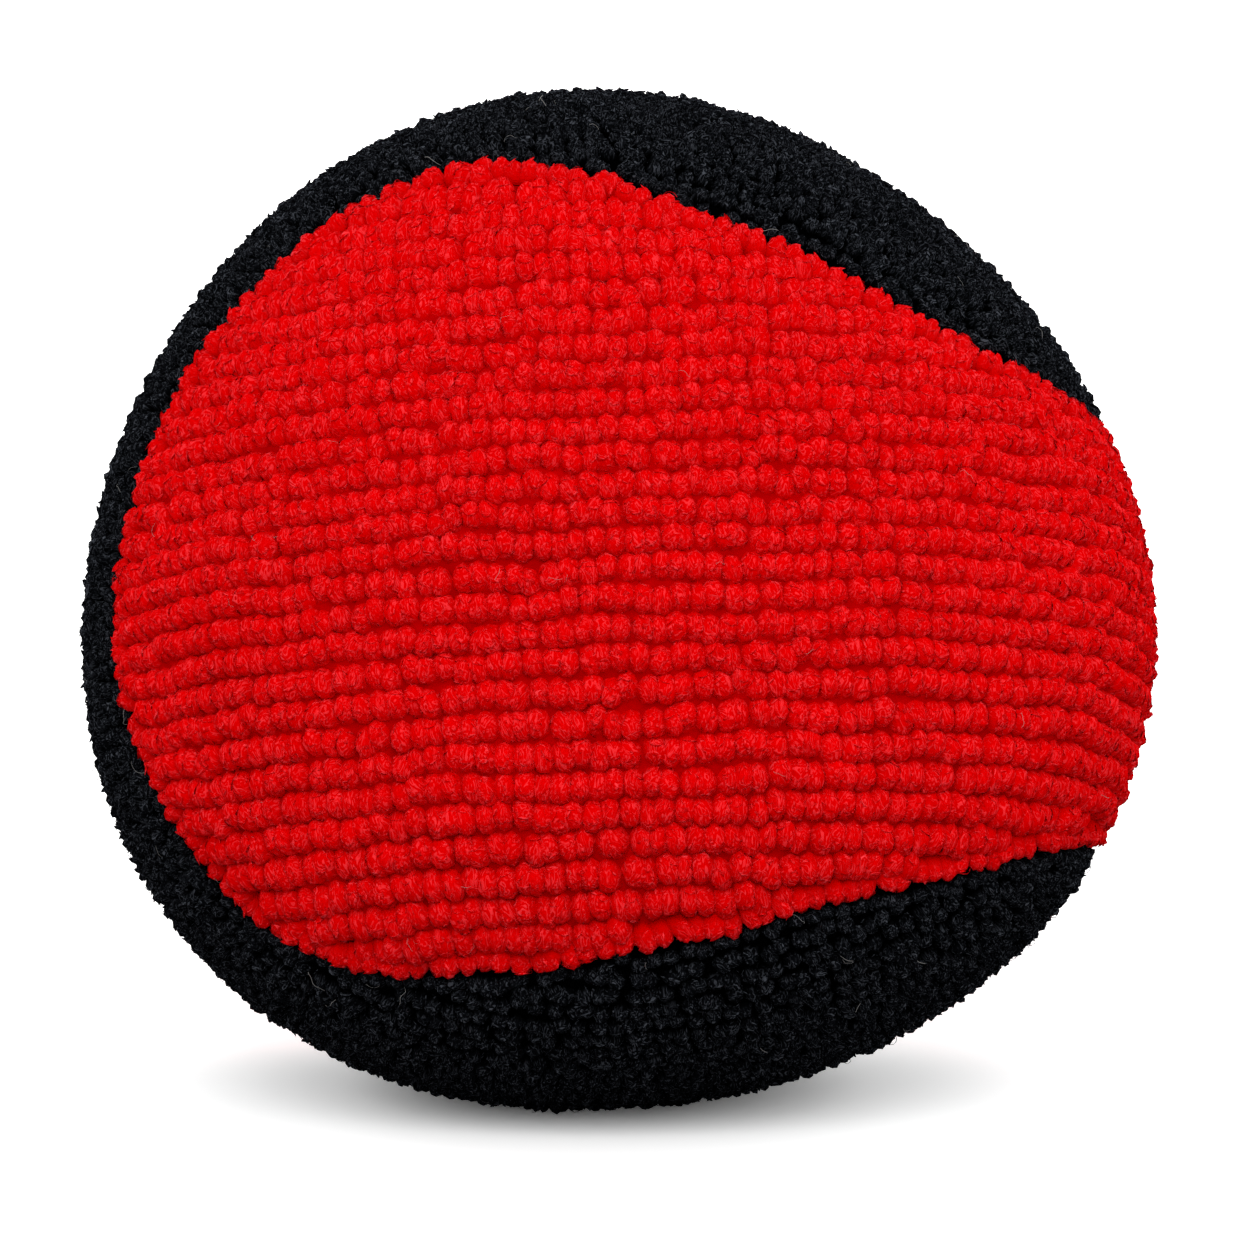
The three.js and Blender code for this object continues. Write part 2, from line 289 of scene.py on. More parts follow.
def pouch_form(points):
    turn = np.arctan2(points[:, 2], points[:, 0])
    pucker = PUCKER_DEPTH * np.sin(PUCKERS * turn) * np.exp(-np.abs(points[:, 1]) / PUCKER_REACH)
    return at_depth(points, POUCH_DEPTH + PUCKER_DEPTH + pucker)


for side, name, node in (
    (-1, "pouch_front_cloth", "pouch_front_panel"),
    (1, "pouch_back_cloth", "pouch_back_panel"),
):
    pouch_shape = bmesh.new()
    bmesh.ops.create_icosphere(pouch_shape, subdivisions=6, radius=BLANK_RADIUS)
    bmesh.ops.bisect_plane(
        pouch_shape,
        geom=[*pouch_shape.verts, *pouch_shape.edges, *pouch_shape.faces],
        plane_co=(0, side * POUCH_SEAM_HALF * MM, 0),
        plane_no=(0, -side, 0),
        clear_outer=True,
    )
    bmesh.ops.translate(pouch_shape, vec=BALL_MIDDLE, verts=pouch_shape.verts)
    moved_vertices(pouch_shape, pouch_form)
    for drop, inset in ((POUCH_TURN_DEPTH, 0), (POUCH_ALLOWANCE_DROP, POUCH_ALLOWANCE)):
        rim = [edge for edge in pouch_shape.edges if edge.is_boundary]
        turned = bmesh.ops.extrude_edge_only(pouch_shape, edges=rim)["geom"]
        for vertex in [part for part in turned if isinstance(part, bmesh.types.BMVert)]:
            outwards = vertex.co - BALL_MIDDLE
            outwards.y = 0
            vertex.co -= outwards.normalized() * drop * MM
            vertex.co.y += side * inset * MM
    bmesh.ops.recalc_face_normals(pouch_shape, faces=pouch_shape.faces)
    bmesh.ops.solidify(pouch_shape, geom=pouch_shape.faces[:], thickness=POUCH_CLOTH * MM)
    put_in_order(pouch_shape)
    pouch_cloth = finished(name, pouch_shape, cotton_material, [node])


# Threads of the pouch's seam. Two-ply cotton: a needle thread and a bobbin thread from the machine, and a
# hand-sewn one, knotted at both ends, that closes the gap through which the pouch was filled.
POUCH_THREAD = 0.3
POUCH_THREAD_OFFSET = 0.3
POUCH_NEEDLE_DEPTH = 5.05
POUCH_BOBBIN_DEPTH = 5.65
POUCH_STITCHES = 40
POUCH_GAP = (32, 36)
THREAD_TWIST = 1.6
THREAD_STEP = 0.25
KNOT_LOOP = 0.12
KNOT_HEIGHT = 1.4
KNOT_POINTS = 48
KNOT_PLUMPNESS = 1.7
KNOT_ROOM = 1.45
STRAND_SCALE = 9000
COTTON_THREAD = (0.86, 0.84, 0.79)
COTTON_THREAD_SHADE = (0.55, 0.52, 0.46)


def thread_line(directions, across, first, last, steps, depth, swing):
    """Points of a thread that swings from one side of a seam to the other at each step, evenly spaced."""
    numbers = np.arange(round((last - first) * steps) + 1)
    places = first + numbers / steps
    stations = np.floor(places).astype(int)
    sideways = np.where(numbers % 2, swing, -swing)[:, None]

    def beside(station):
        middle = at_depth(directions[station % len(directions)], depth)
        return at_depth(middle + sideways * across[station % len(directions)], depth)

    share = (places - stations)[:, None]
    corners = beside(stations) * (1 - share) + beside(stations + 1) * share
    lengths = np.concatenate([[0], np.cumsum(np.linalg.norm(np.diff(corners, axis=0), axis=1))])
    spots = np.arange(0, lengths[-1], THREAD_STEP)
    line = np.column_stack([np.interp(spots, lengths, corners[:, i]) for i in range(3)])
    for _ in range(2):
        line[1:-1] = (line[:-2] + 2 * line[1:-1] + line[2:]) / 4
    return line


def two_ply_thread(name, line, thickness, knotted, material, node):
    """A thread of two plies wound round each other along a line, knotted at both ends if it is hand-sewn."""
    along = unit(np.gradient(line, axis=0))
    aside = unit(np.cross(along, line))
    out = np.cross(aside, along)
    twist = np.arange(len(line)) * THREAD_STEP * 2 * math.pi / THREAD_TWIST
    plies = [
        line + side * thickness / 4 * (np.cos(twist)[:, None] * aside + np.sin(twist)[:, None] * out)
        for side in (-1, 1)
    ]
    knot_turns = np.linspace(0, 2 * math.pi, KNOT_POINTS, endpoint=False)
    knot = KNOT_LOOP * np.column_stack([
        np.sin(knot_turns) + 2 * np.sin(2 * knot_turns),
        np.cos(knot_turns) - 2 * np.cos(2 * knot_turns),
        -KNOT_HEIGHT * np.sin(3 * knot_turns),
    ])
    knots = [knot + end for end in (line[0], line[-1])] if knotted else []
    curve = bpy.data.curves.new(name, "CURVE")
    curve.dimensions = "3D"
    curve.bevel_depth = thickness / 4 * MM
    curve.bevel_resolution = 0
    curve.use_fill_caps = True
    for points in plies + knots:
        spline = curve.splines.new("POLY")
        spline.points.add(len(points) - 1)
        rows = np.column_stack([points * MM + np.array(BALL_MIDDLE), np.ones(len(points))])
        spline.points.foreach_set("co", rows.ravel())
    for spline in curve.splines[2:]:
        spline.use_cyclic_u = True
        spline.points.foreach_set("radius", np.full(len(knot), KNOT_PLUMPNESS))
    wound = bpy.data.objects.new(name, curve)
    bpy.context.scene.collection.objects.link(wound)
    mesh = bpy.data.meshes.new_from_object(wound.evaluated_get(bpy.context.evaluated_depsgraph_get()))
    bpy.data.objects.remove(wound)
    thread_shape = bmesh.new()
    thread_shape.from_mesh(mesh)
    bpy.data.meshes.remove(mesh)
    bmesh.ops.recalc_face_normals(thread_shape, faces=thread_shape.faces)
    finished(name, thread_shape, material, [node])


def spun_thread(name, shade, colour):
    spun = Finish(name)
    place = spun.node("ShaderNodeTexCoord", {}, {}, "Object")
    strands = spun.noise(place, STRAND_SCALE, 2, 0.6)
    return spun.cloth(spun.mix(strands, shade, colour), 0.6, strands, 0.04 * MM, 0.1, colour)


rim_turns = np.linspace(0, 2 * math.pi, POUCH_STITCHES, endpoint=False)
rim = np.column_stack([np.cos(rim_turns), 0 * rim_turns, np.sin(rim_turns)])
rim_across = np.tile([0.0, 1.0, 0.0], (POUCH_STITCHES, 1))
rim_stitch = np.linalg.norm(np.diff(at_depth(rim, 0), axis=0), axis=1).mean()
cotton_thread = spun_thread("cotton_sewing_thread", COTTON_THREAD_SHADE, COTTON_THREAD)
for name, node, depth, swing in (
    ("pouch_needle_yarn", "pouch_needle_thread", POUCH_NEEDLE_DEPTH, POUCH_THREAD_OFFSET),
    ("pouch_bobbin_yarn", "pouch_bobbin_thread", POUCH_BOBBIN_DEPTH, -POUCH_THREAD_OFFSET),
):
    line = thread_line(rim, rim_across, POUCH_GAP[1], POUCH_GAP[0] + POUCH_STITCHES, 1, depth, swing)
    two_ply_thread(name, line, POUCH_THREAD, False, cotton_thread, node)
room = KNOT_ROOM / rim_stitch
depth = (POUCH_NEEDLE_DEPTH + POUCH_BOBBIN_DEPTH) / 2
line = thread_line(rim, rim_across, POUCH_GAP[0] + room, POUCH_GAP[1] - room, 2, depth, POUCH_THREAD_OFFSET)
two_ply_thread(
    "pouch_closing_yarn", line, POUCH_THREAD, True, cotton_thread, "pouch_closing_thread"
)


# Ground cloths. Two knitted panels, alike in cut, that carry the pile. They meet at a seam like a
# baseball's, where each edge is turned in and its allowance folded back flat inside.
PILE_HEIGHT = 2.0
FOOT_DEPTH = 0.95
SEAM_REACH = 26.5
SEAM_PULL = 14.7
SEAM_SIDE_REACH = 27.4
SEAM_SIDE_SHIFT = 2.5
SEAM_TILT = Euler((math.radians(-13.0), math.radians(4.0), math.radians(-0.9)), "XYZ").to_matrix()
ROLL_WIDTH = 4.5
ROLL_DEPTH = 1.4
KNIT_SCALE = 1100
KNIT_SHADE_SCALE = 300
KNIT_SHADE = 0.4
# the ground's red and black below: the knits' own dyed colours, made darker than the pile as painted shade
# where the ground shows at the foot of the tufts
RED_ROOT_WITH_PAINTED_SHADE = (0.52, 0.0, 0.001)
BLACK_ROOT_WITH_PAINTED_SHADE = (0.0004, 0.0004, 0.0005)


def seam_line(count):
    """Points on the tips of the pile along the seam, and the ways from black to red there."""
    s = np.linspace(0, 2 * math.pi, count, endpoint=False)
    front = SEAM_REACH * np.cos(s) - SEAM_PULL * np.cos(3 * s)
    up = SEAM_REACH * np.sin(s) + SEAM_PULL * np.sin(3 * s)
    line = np.column_stack([SEAM_SIDE_SHIFT - SEAM_SIDE_REACH * np.cos(2 * s), -front, up])
    line = at_depth(line @ np.array(SEAM_TILT).T, 0)
    along = np.roll(line, -1, axis=0) - np.roll(line, 1, axis=0)
    return line, unit(np.cross(along, line))


def knitted(name, root):
    knit = Finish(name)
    place = knit.node("ShaderNodeTexCoord", {}, {}, "Object")
    stitches = knit.node("ShaderNodeTexVoronoi", {}, {"Vector": place, "Scale": KNIT_SCALE}, "Distance")
    shade = knit.noise(place, KNIT_SHADE_SCALE, 2)
    # the root colour given in already carries painted shade; this noise only darkens it in random blotches
    deep = tuple(KNIT_SHADE * part for part in root)
    return knit.cloth(knit.mix(shade, deep, root), 1.0, stitches, 0.2 * MM)


def ground_form(points):
    depths = body_radius(unit(points)) - np.linalg.norm(points, axis=1)
    sunk = FOOT_DEPTH * np.maximum(1 - depths / PILE_HEIGHT, 0)
    return at_depth(points, depths + sunk)


for name, node, root, slot_name in (
    ("red_ground_cloth", "red_cover_panel", RED_ROOT_WITH_PAINTED_SHADE, "red_pile"),
    ("black_ground_cloth", "black_cover_panel", BLACK_ROOT_WITH_PAINTED_SHADE, "black_pile"),
):
    cloth_shape = bmesh.new()
    cloth_shape.from_mesh(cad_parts[node].data)
    bmesh.ops.remove_doubles(cloth_shape, verts=cloth_shape.verts, dist=0.001 * MM)
    bmesh.ops.subdivide_edges(cloth_shape, edges=cloth_shape.edges[:], cuts=2, use_grid_fill=True)
    moved_vertices(cloth_shape, ground_form)
    ground = finished(name, cloth_shape, knitted(name.replace("cloth", "knit"), root), [node])


# Threads of the cover's seam. Two-ply black polyester: a needle thread and a bobbin thread down in the seam
# under the pile, and a hand-sewn one that closes the gap through which the cover was turned and filled.
COVER_THREAD = 0.4
COVER_THREAD_OFFSET = 0.4
COVER_NEEDLE_DEPTH = 2.5
COVER_BOBBIN_DEPTH = 3.2
COVER_STITCHES = 80
COVER_GAP = (33, 40)
SEAM_FINE_POINTS = 4000
POLYESTER = (0.020, 0.021, 0.026)
POLYESTER_SHADE = (0.004, 0.004, 0.005)

fine_points, fine_across = seam_line(SEAM_FINE_POINTS)
untilted = unit(fine_points) @ np.array(SEAM_TILT)
seam_lengths = np.cumsum(np.linalg.norm(untilted - np.roll(untilted, 1, axis=0), axis=1))
seam_lengths -= seam_lengths[0]
stations = np.searchsorted(seam_lengths, np.arange(COVER_STITCHES) / COVER_STITCHES * seam_lengths[-1])
seam_ways, seam_sides = unit(fine_points[stations]), fine_across[stations]
seam_stitch = np.linalg.norm(np.diff(fine_points[stations], axis=0), axis=1).mean()
polyester_thread = spun_thread("polyester_sewing_thread", POLYESTER_SHADE, POLYESTER)
for name, node, depth, swing in (
    ("cover_needle_yarn", "cover_needle_thread", COVER_NEEDLE_DEPTH, COVER_THREAD_OFFSET),
    ("cover_bobbin_yarn", "cover_bobbin_thread", COVER_BOBBIN_DEPTH, -COVER_THREAD_OFFSET),
):
    line = thread_line(seam_ways, seam_sides, COVER_GAP[1], COVER_GAP[0] + COVER_STITCHES, 1, depth, swing)
    two_ply_thread(name, line, COVER_THREAD, False, polyester_thread, node)
room = KNOT_ROOM / seam_stitch
depth = (COVER_NEEDLE_DEPTH + COVER_BOBBIN_DEPTH) / 2
gap_start, gap_end = COVER_GAP[0] + room, COVER_GAP[1] - room
line = thread_line(seam_ways, seam_sides, gap_start, gap_end, 2, depth, COVER_THREAD_OFFSET)
two_ply_thread(
    "cover_closing_yarn", line, COVER_THREAD, True, polyester_thread, "cover_closing_thread"
)


# Red pile. Fluffy microfibre yarn stands in tufts on the ground cloth, in rows that run along the panel.
# Each tuft is a puffy lump with small curls of yarn all over it, mostly from one valley to the next.
# the yarn's own red; a darker red that is painted shade low on each tuft and between fibres; a pale pink
# glint that is a painted highlight; how strong the painted highlight is; and the share of a tuft's height
# below which the painted shade sets in
RED_SHADE = (0.655, 0.0, 0.0006)
RED_PAINTED_VALLEY_SHADE = (0.53, 0.0, 0.0002)
RED_GLINT = (0.92, 0.050, 0.062)
RED_GLINT_SHARE = 0.80
RED_PAINTED_SHADE_BELOW = 0.2
RED_TUFT_PITCH = 1.40
RED_FULLNESS = 1.0
RED_WANDER = 0.14
RED_ROLL = 0.3
RED_EDGE_ROW = -0.35
RED_SEAM_MARGIN = 0.95
RED_ROW_NORMAL = unit(np.array([-0.045, 0.30, 0.95]))
# rows of pile as they are seen down the front, in millimetres: the first, the last, the pitch halfway up,
# how much closer they lie for each millimetre higher, and how far off the middle they are counted
RED_ROWS_TOP = 39.0
RED_ROWS_BOTTOM = -40
RED_ROW_PITCH = 2.3
RED_ROW_CLOSER = 0.008
RED_ROWS_SIDE = 0.19
# places and sizes of the tufts of both panels; pairs are ranges
PITCH_SCATTER = 0.16
ALONG_SCATTER = 0.05
ROW_SCATTER = 0.08
ROW_SWAY = 0.5
ROW_SWAY_LENGTH = 9
EDGE_ROW_WIDTH = 1.5
EDGE_ROW_WIDTHS = (0.9, 1.1)
EDGE_SCATTER = 0.15
STEEPEST_ROLL = 0.7
TUFT_SIZES = (0.95, 1.10)
TUFT_HEIGHTS = (0.94, 1.07)
# half a tuft's length, half its width and its height, as shares of the pitch, the row's width and the pile
TUFT_SHARES = (0.77, 0.585, 1.02)
# a tuft's form: how low the ball is cut off, its bumps, its map, its lean along and across the row
YARN_SEED = 3
TUFT_VARIANTS = 6
TUFT_CUT = 0.15
TUFT_BUMPS = 0.045
TUFT_MAP = (2.1, 3.4)
TUFT_LEAN = (0.10, 0.12)
TUFT_SOFTNESS = 0.2
# TUFT_RISE turns height on a tuft into the mask for its painted shade and painted highlights
TUFT_RISE = 0.95
TUFT_TONE = 0.8
# a curl's sizes in millimetres with the ranges of their shares, and its form
CURL_VARIANTS = 8
CURL_WIDTH = 0.34
CURL_WIDTHS = (0.8, 1.25)
CURL_LENGTH = 1.15
CURL_LENGTHS = (0.75, 1.15)
CURL_HEIGHT = 0.42
CURL_HEIGHTS = (0.8, 1.15)
CURL_FOOT = 0.30
CURL_ARCH = 1.4
CURL_FLATNESS = 0.8
CURL_BENDS = (0.9, 2.2)
CURL_BUMPS = 0.04
CURL_TURN = 0.8
CURL_TWIST = 0.45
CURL_SOFTNESS = 0.9
# where a curl's crest begins, which carries a painted highlight line, and how little of the painted valley
# shade reaches down a curl
CURL_CREST = 0.85
CURL_RISE = 0.4
CURL_TONE = 0.4
# where curls sit on a tuft, as shares of its half length and half width
CURL_SPOTS = (
    (-0.54, -0.42), (0.54, -0.40), (-0.52, 0.40), (0.54, 0.42), (0.02, -0.12), (0.0, -0.76), (0.0, 0.66),
)
CURL_SPOT_SCATTER = 0.09
# the yarn's finish: fibres, with painted shade between them and painted highlights along them and on the
# curls' crests, the knobs between them and broad patches of tone
FIBRE_SCALE = (3.6, 2.0, 1.0)
FIBRE_WARP = 2.2
FIBRE_TURN = 0.9
FIBRE_RELIEF = 0.07 * MM
PAINTED_SHADE_STRANDS = (0.28, 0.56)
PAINTED_GLINT_STRANDS = (0.50, 0.72)
PAINTED_GLINT_CRESTS = (0.15, 0.9)
CREST_SHARE = 0.4
KNOB_SCALE = 2200
KNOB_SHARE = 1.5
PATCH_SCALE = 120
PATCH_SPREAD = 0.14
TONE_SPREAD = 0.10
DARKEST_TONE = 0.88
FLOOR_PRESS = 0.25 * MM
SEAM_POINTS = 1600
# how far the red edge leans over the seam into the black, in millimetres, at turns of the seam in radians
EDGE_LEAN = (
    (0.05, -0.4), (0.12, -0.3), (0.16, -0.7), (0.24, -1.1), (0.31, -0.5), (0.40, 0.8), (0.51, 1.9),
    (0.60, 0.8), (0.70, 0.8), (0.82, -0.1), (0.98, 0.95), (1.10, 0.6), (1.18, 0.3), (1.28, 0.85),
    (1.45, 1.2), (1.70, 0.4), (4.70, 0.4), (4.95, -0.4), (5.04, 0.4), (5.20, 0.5), (5.35, 0.8),
    (5.50, 0.1), (5.58, 0.4), (5.68, -0.6), (5.77, 0.5), (5.86, 1.0), (5.95, 1.2), (6.06, -0.1),
    (6.12, 0.2), (6.21, 1.2), (6.26, 1.1),
)


def tuft_shapes(random):
    """Puffy lumps one unit wide, long and high, standing on the ground."""
    shapes = []
    for _ in range(TUFT_VARIANTS):
        shape = bmesh.new()
        bmesh.ops.create_uvsphere(shape, u_segments=9, v_segments=5, radius=0.5)
        bmesh.ops.bisect_plane(
            shape,
            geom=[*shape.verts, *shape.edges, *shape.faces],
            plane_co=(0, 0, -TUFT_CUT),
            plane_no=(0, 0, -1),
            clear_outer=True,
        )
        bmesh.ops.holes_fill(shape, edges=[edge for edge in shape.edges if edge.is_boundary])
        put_in_order(shape)
        drift = Vector(random.uniform(0, 50, 3))
        for vertex in shape.verts:
            vertex.co += TUFT_BUMPS * noise_vector(vertex.co * 3.0 + drift)
            vertex.co.z = (vertex.co.z + TUFT_CUT) / (0.5 + TUFT_CUT)
        shapes.append(shape)
    return shapes


def curl_shapes(random):
    """Curls one unit wide, long and high, that arch over a tuft and bend to one side."""
    shapes = []
    for number in range(CURL_VARIANTS):
        shape = bmesh.new()
        ring = bmesh.ops.create_circle(shape, segments=3, radius=0.5)["verts"]
        bmesh.ops.scale(shape, verts=ring, vec=(1.0, -CURL_FLATNESS, 1))
        bmesh.ops.translate(shape, verts=ring, vec=(0, -0.6, 0))
        bmesh.ops.spin(
            shape,
            geom=shape.edges[:],
            cent=(0, 0, 0),
            axis=(1, 0, 0),
            angle=-math.pi,
            steps=4,
            use_duplicate=False,
        )
        bmesh.ops.holes_fill(shape, edges=[edge for edge in shape.edges if edge.is_boundary])
        bend = random.uniform(*CURL_BENDS) * (-1) ** number
        drift = Vector(random.uniform(0, 50, 3))
        for vertex in shape.verts:
            vertex.co += CURL_BUMPS * noise_vector(vertex.co * 1.7 + drift)
            vertex.co.x += bend * (vertex.co.z - 0.5)
            vertex.co.y *= 0.5
        shapes.append(shape)
    return shapes


def yarn_meshes(shapes, curls):
    """Meshes of tufts or curls, with a map in millimetres that has its second axis along the fibres."""
    wide, long = (CURL_WIDTH, CURL_ARCH * CURL_LENGTH) if curls else TUFT_MAP
    meshes = []
    for shape in shapes:
        shape.verts.index_update()
        outer = [math.hypot(2 * vertex.co.y, vertex.co.z) for vertex in shape.verts]
        crests = {i for i, far in enumerate(outer) if far > CURL_CREST}
        fibre = shape.loops.layers.uv.new("Fibre")
        for face in shape.faces:
            for corner in face.loops:
                place = corner.vert.co
                corner[fibre].uv = (wide * (place.x + 0.5), long * math.atan2(place.z, -place.y) / math.pi)
        # rise, height on the tuft or curl, and crest, the curl's outermost edge, are masks for the yarn's
        # painted shade and painted highlights
        rise = shape.verts.layers.float.new("rise")
        crest = shape.verts.layers.float.new("crest")
        for vertex in shape.verts:
            vertex[rise] = vertex.co.z * CURL_RISE + (1 - CURL_RISE) if curls else vertex.co.z * TUFT_RISE
            vertex[crest] = 1.0 if curls and vertex.index in crests else 0.0
        bmesh.ops.recalc_face_normals(shape, faces=shape.faces)
        mesh = bpy.data.meshes.new("yarn")
        shape.to_mesh(mesh)
        shape.free()
        meshes.append(mesh)
    return meshes


# noise_vector starts from the clock unless it is given a seed
seed_set(YARN_SEED)
random = np.random.default_rng(YARN_SEED)
TUFTS = yarn_meshes(tuft_shapes(random), False)
CURLS = yarn_meshes(curl_shapes(random), True)
YARN_MESHES = TUFTS + CURLS
seam_points, seam_across = seam_line(SEAM_POINTS)
seam_turns = np.linspace(0, 2 * math.pi, SEAM_POINTS, endpoint=False)
edge_lean = np.interp(seam_turns, *zip(*EDGE_LEAN), period=2 * math.pi)
seam_points = at_depth(seam_points - edge_lean[:, None] * seam_across, 0)


def seam_distance(points):
    """How far points on the cover are from the seam, below nought on the black side, and the way there."""
    found = []
    towards = []
    for point in points:
        nearest = ((point - seam_points) ** 2).sum(axis=1).argmin()
        offset = point - seam_points[nearest]
        side = np.sign((offset * seam_across[nearest]).sum())
        found.append(side * np.linalg.norm(offset))
        towards.append(-side * seam_across[nearest])
    return np.array(found), np.array(towards)


def surface_normals(points):
    """Ways straight out of the body at points on it."""
    step = 0.05

    def level(places):
        return np.linalg.norm(places, axis=1) - body_radius(unit(places))

    slopes = [level(points + step * way) - level(points - step * way) for way in np.eye(3)]
    return unit(np.column_stack(slopes))


def row_of_tufts(normal, height, pitch, random):
    """Evenly spaced places along the line where the body meets a plane, and the ways along that line."""
    first = unit(np.cross(normal, [0.31, 0.95, 0.1]))
    second = np.cross(normal, first)
    turns = np.linspace(0, 2 * math.pi, 1441)
    ways = np.cos(turns)[:, None] * first + np.sin(turns)[:, None] * second
    reach = np.full(len(turns), HALF_DEPTH)
    for _ in range(30):
        line = normal * height + ways * reach[:, None]
        radius = body_radius(unit(line))
        reach = np.sqrt(np.maximum(radius**2 - height**2, 0.01))
    lengths = np.concatenate([[0], np.cumsum(np.linalg.norm(np.diff(line, axis=0), axis=1))])
    count = max(3, round(lengths[-1] / pitch))
    start = random.uniform(0, 1)
    spots = (np.arange(count) + start + random.uniform(-PITCH_SCATTER, PITCH_SCATTER, count)) / count
    spots = (spots % 1) * lengths[-1]
    places = np.column_stack([np.interp(spots, lengths, line[:, i]) for i in range(3)])
    ahead = np.column_stack([np.interp((spots + 0.2) % lengths[-1], lengths, line[:, i]) for i in range(3)])
    return places, unit(ahead - places)


def panel_tufts(normal, heights, pitch, side, margin, random):
    """Place, way along the row, way out and row width of each tuft, and how far the seam is and where."""
    gaps = np.gradient(heights)
    parts = []
    for height, gap in zip(heights, gaps):
        places, along = row_of_tufts(normal, height, pitch, random)
        out = surface_normals(places)
        width = np.abs(gap) / np.sqrt(np.maximum(1 - (out @ normal) ** 2, 0.05))
        parts.append(np.column_stack([places, along, out, width]))
    tufts = np.concatenate(parts)
    distance, towards = seam_distance(tufts[:, :3])
    kept = side * distance > margin + random.uniform(-EDGE_SCATTER, EDGE_SCATTER, len(distance))
    return tufts[kept], np.abs(distance[kept]), towards[kept]


def edge_tufts(pitch, side, from_seam, random):
    """A row of smaller tufts that follows the seam, close to it."""
    steps = np.roll(seam_points, -1, axis=0) - seam_points
    along = unit(steps)
    lengths = np.concatenate([[0], np.cumsum(np.linalg.norm(steps, axis=1))])
    count = round(lengths[-1] / pitch)
    scatter = random.uniform(-PITCH_SCATTER, PITCH_SCATTER, count)
    spots = (np.arange(count) + scatter) % count / count * lengths[-1]
    stations = np.clip(np.searchsorted(lengths, spots), 0, len(seam_points) - 1)
    distance = from_seam + random.uniform(-EDGE_SCATTER, EDGE_SCATTER, count)
    places = at_depth(seam_points[stations] + side * distance[:, None] * seam_across[stations], 0)
    width = EDGE_ROW_WIDTH * random.uniform(*EDGE_ROW_WIDTHS, count)
    tufts = np.column_stack([places, along[stations], surface_normals(places), width])
    return tufts, distance, -side * seam_across[stations]


def yarn_frames(tufts, distance, towards, pitch, fullness, wander, roll, spots, random):
    """Which yarn mesh goes where: its number, its place and its three axes in millimetres, and its tone."""
    rows = []
    for tuft, gap, way in zip(tufts, distance, towards):
        place, along, out, width = tuft[:3], tuft[3:6], tuft[6:9], tuft[9]
        dip, slope = 0.0, 0.0
        if gap < ROLL_WIDTH:
            inwards = min((ROLL_WIDTH - gap) / ROLL_WIDTH, 1)
            rest = math.sqrt(max(1 - inwards**2, 0.05))
            dip = roll * ROLL_DEPTH * (1 - rest)
            slope = min(ROLL_DEPTH * inwards / ROLL_WIDTH / rest, STEEPEST_ROLL)
        out = unit(out + slope * way)
        across = unit(np.cross(out, along))
        along = np.cross(across, out)
        tone = random.uniform(0, 1)
        turn = random.normal(0, wander)
        height = PILE_HEIGHT * random.uniform(*TUFT_HEIGHTS)
        sway = ROW_SWAY * noise(Vector(place) / ROW_SWAY_LENGTH)
        place = place - out * (dip + PILE_HEIGHT) + across * (sway + random.normal(0, ROW_SCATTER))
        place = place + along * random.normal(0, ALONG_SCATTER)
        lean = unit(out + random.normal(0, TUFT_LEAN[0]) * along + random.normal(0, TUFT_LEAN[1]) * across)
        x_axis = math.cos(turn) * along + math.sin(turn) * across
        y_axis = np.cross(out, x_axis)
        size = random.uniform(*TUFT_SIZES)
        half = np.array(TUFT_SHARES) * (pitch * size * fullness, width * fullness, height)
        rows.append([
            random.integers(len(TUFTS)),
            *place,
            *(x_axis * 2 * half[0]),
            *(y_axis * 2 * half[1]),
            *(lean * half[2]),
            TUFT_TONE * tone,
        ])
        for right, far in spots:
            spot = np.array([right, far]) + random.normal(0, CURL_SPOT_SCATTER, 2)
            top = math.sqrt(max(1 - spot @ spot, 0.08))
            slant = np.array([*spot, top]) / half
            curl_out = unit(x_axis * slant[0] + y_axis * slant[1] + lean * slant[2])
            rim_way = (math.atan2(spot[1], spot[0]) + math.pi / 2) % math.pi - math.pi / 2
            twist = CURL_TURN * rim_way + random.normal(0, CURL_TWIST)
            curl_y = unit(np.cross(curl_out, math.cos(twist) * x_axis + math.sin(twist) * y_axis))
            curl_x = np.cross(curl_y, curl_out)
            foot = place + x_axis * half[0] * spot[0] + y_axis * half[1] * spot[1] + lean * half[2] * top
            rows.append([
                len(TUFTS) + random.integers(len(CURLS)),
                *(foot - curl_out * CURL_FOOT),
                *(curl_x * CURL_WIDTH * random.uniform(*CURL_WIDTHS)),
                *(curl_y * CURL_LENGTH * random.uniform(*CURL_LENGTHS)),
                *(curl_out * CURL_HEIGHT * random.uniform(*CURL_HEIGHTS)),
                (1 - CURL_TONE) * tone + CURL_TONE * random.uniform(0, 1),
            ])
    return np.array(rows)


